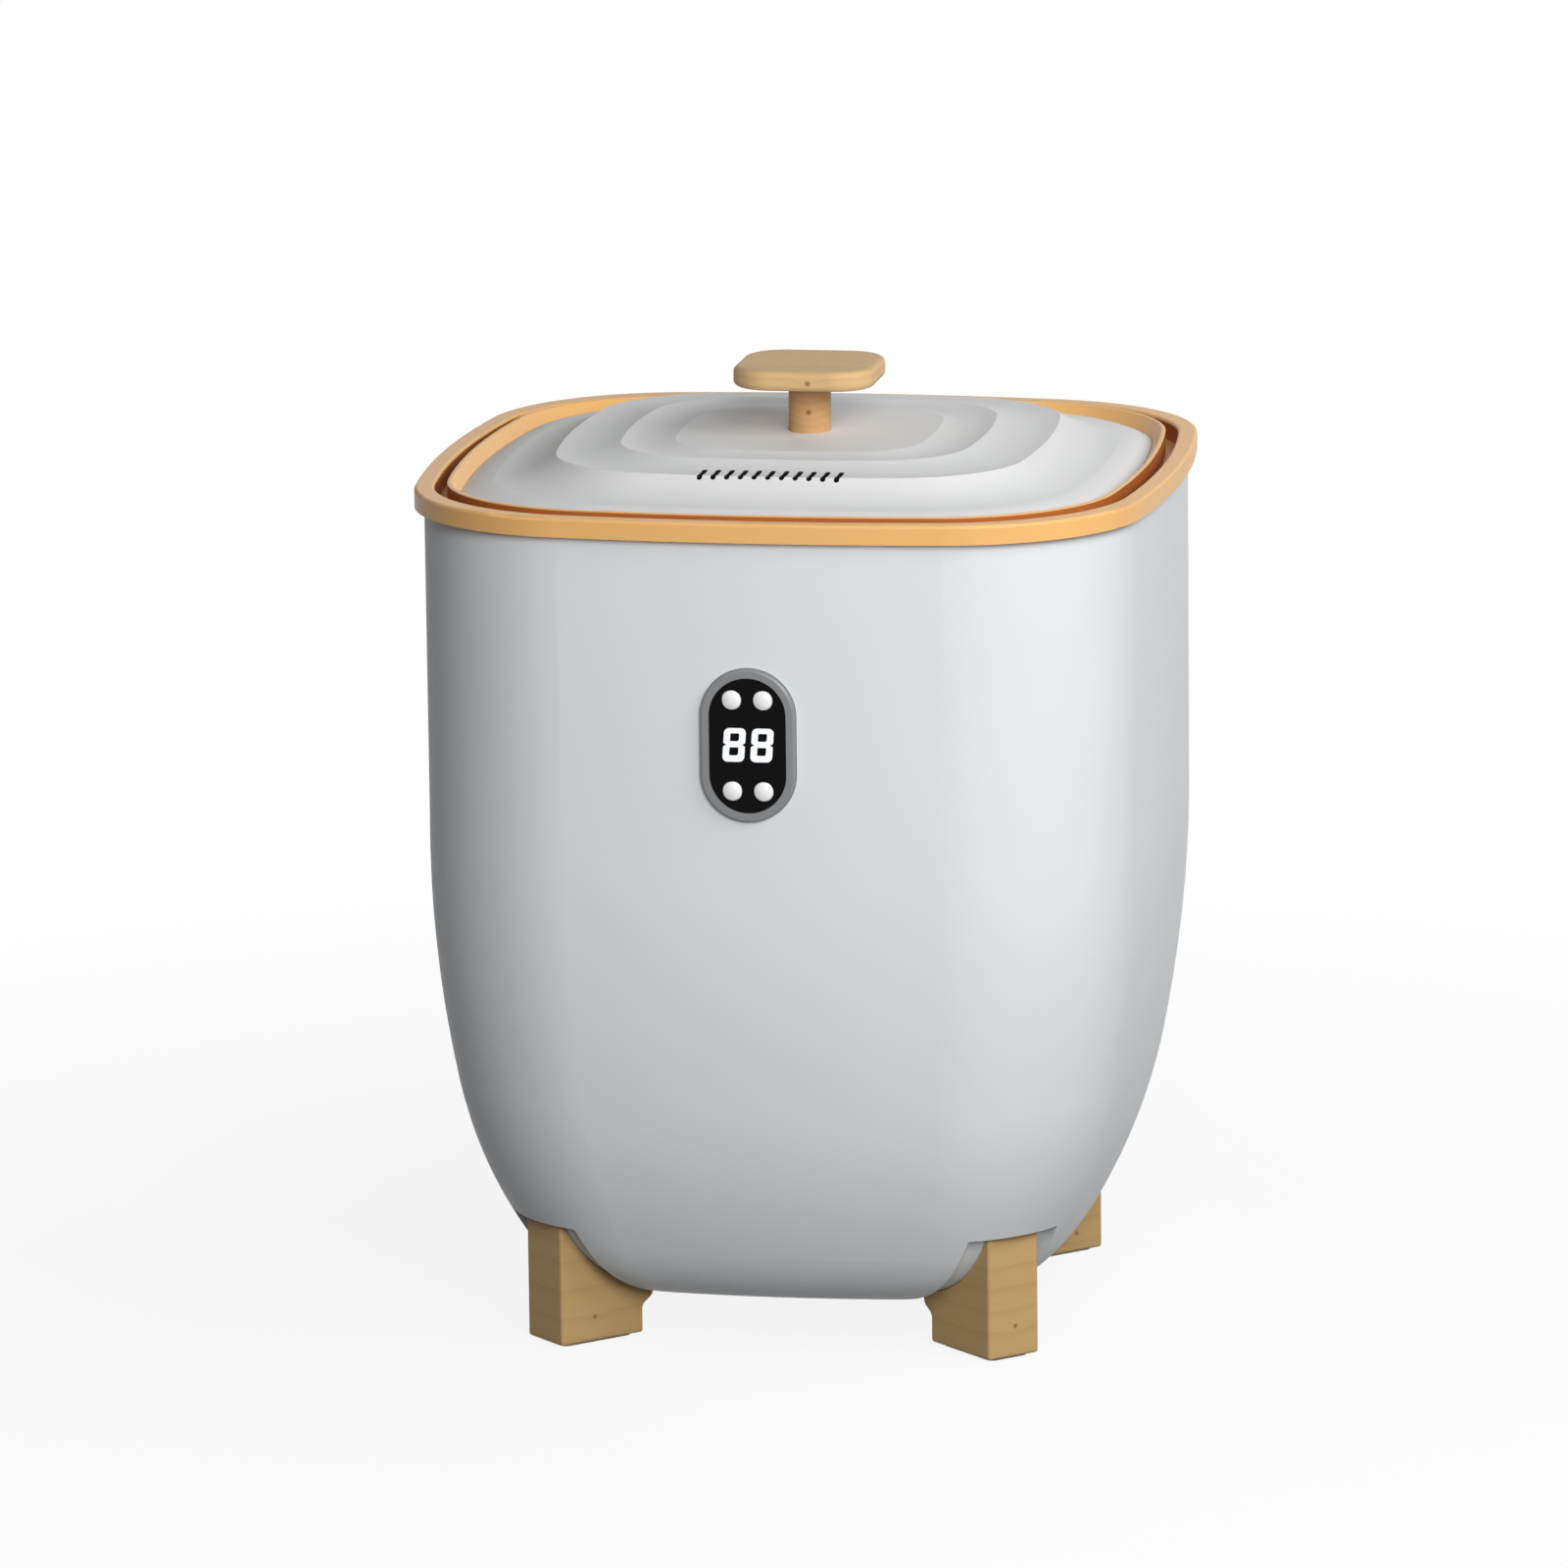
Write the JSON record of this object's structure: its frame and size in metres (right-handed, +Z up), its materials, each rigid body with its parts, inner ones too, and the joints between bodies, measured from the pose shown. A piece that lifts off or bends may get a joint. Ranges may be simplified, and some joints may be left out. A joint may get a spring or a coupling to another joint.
{
  "type": "towel warmer bucket",
  "caption": "Rounded-square towel warmer bucket on wooden legs, with a lift-off lid, wooden knob, heated inner well and a display panel with push buttons.",
  "frame": {"origin": "middle of the bucket on the floor, under the feet", "axes": "+Z up; the control panel faces -Y; +X to the right as seen from the panel"},
  "size_m": [0.31, 0.31, 0.3973],
  "materials": {
    "shell_white": "satin moulded, cool white",
    "rim_tan": "satin, warm tan",
    "lid_white": "satin moulded, white",
    "light_wood": "clear-sealed light wood, fine grain",
    "bezel_grey": "satin mid-grey",
    "panel_black": "high gloss black",
    "button_white": "satin white",
    "well_aluminium": "brushed",
    "foil": "foil",
    "insulation": "needled felt",
    "screw_steel": "zinc plated",
    "board_green": "solder mask",
    "component_dark": "moulded, dark",
    "pad_rubber": "matte",
    "seal_rubber": "soft silicone",
    "base_grey": "fine moulded texture"
  },
  "bodies": {
    "housing": {"outer_shell": "shell_white", "rim_ring": "rim_tan", "inner_bucket": "well_aluminium", "heater_film": "foil", "insulation_wrap": "insulation", "sensor_bracket": "well_aluminium", "thermostat": "screw_steel", "thermal_fuse": "screw_steel", "temperature_sensor": "component_dark", "base_cover": "base_grey", "base_cover_screws": "screw_steel", "power_board": "board_green", "power_components": "component_dark", "power_board_screws": "screw_steel", "leg_front_left": "light_wood", "leg_front_right": "light_wood", "leg_back_left": "light_wood", "leg_back_right": "light_wood", "leg_screws": "screw_steel", "foot_pads": "pad_rubber", "panel_bezel": "bezel_grey", "panel_lens": "panel_black", "display_module": "component_dark", "tact_switches": "component_dark", "control_board": "board_green", "board_screws": "screw_steel", "cord_cup": "base_grey", "cord_bush": "pad_rubber"},
    "lid": {"lid_frame": "rim_tan", "lid_cover": "lid_white", "lid_liner": "well_aluminium", "lid_seal": "seal_rubber", "lid_screws": "screw_steel", "knob_stem": "light_wood", "knob_plate": "light_wood", "knob_washer": "screw_steel", "knob_screw": "screw_steel"},
    "button_upper_left": {"button_upper_left": "button_white"},
    "button_upper_right": {"button_upper_right": "button_white"},
    "button_lower_left": {"button_lower_left": "button_white"},
    "button_lower_right": {"button_lower_right": "button_white"}
  },
  "joints": [
    {"name": "lid_lift", "type": "slide", "parent": "housing", "child": "lid", "axis": [0, 0, 1], "range_m": [0, 0.15]},
    {"name": "button_upper_left_press", "type": "slide", "parent": "housing", "child": "button_upper_left", "axis": [0, 1, 0], "range_m": [0, 0.0006], "stiffness_N_per_m": 1500},
    {"name": "button_upper_right_press", "type": "slide", "parent": "housing", "child": "button_upper_right", "axis": [0, 1, 0], "range_m": [0, 0.0006], "stiffness_N_per_m": 1500},
    {"name": "button_lower_left_press", "type": "slide", "parent": "housing", "child": "button_lower_left", "axis": [0, 1, 0], "range_m": [0, 0.0006], "stiffness_N_per_m": 1500},
    {"name": "button_lower_right_press", "type": "slide", "parent": "housing", "child": "button_lower_right", "axis": [0, 1, 0], "range_m": [0, 0.0006], "stiffness_N_per_m": 1500}
  ]
}
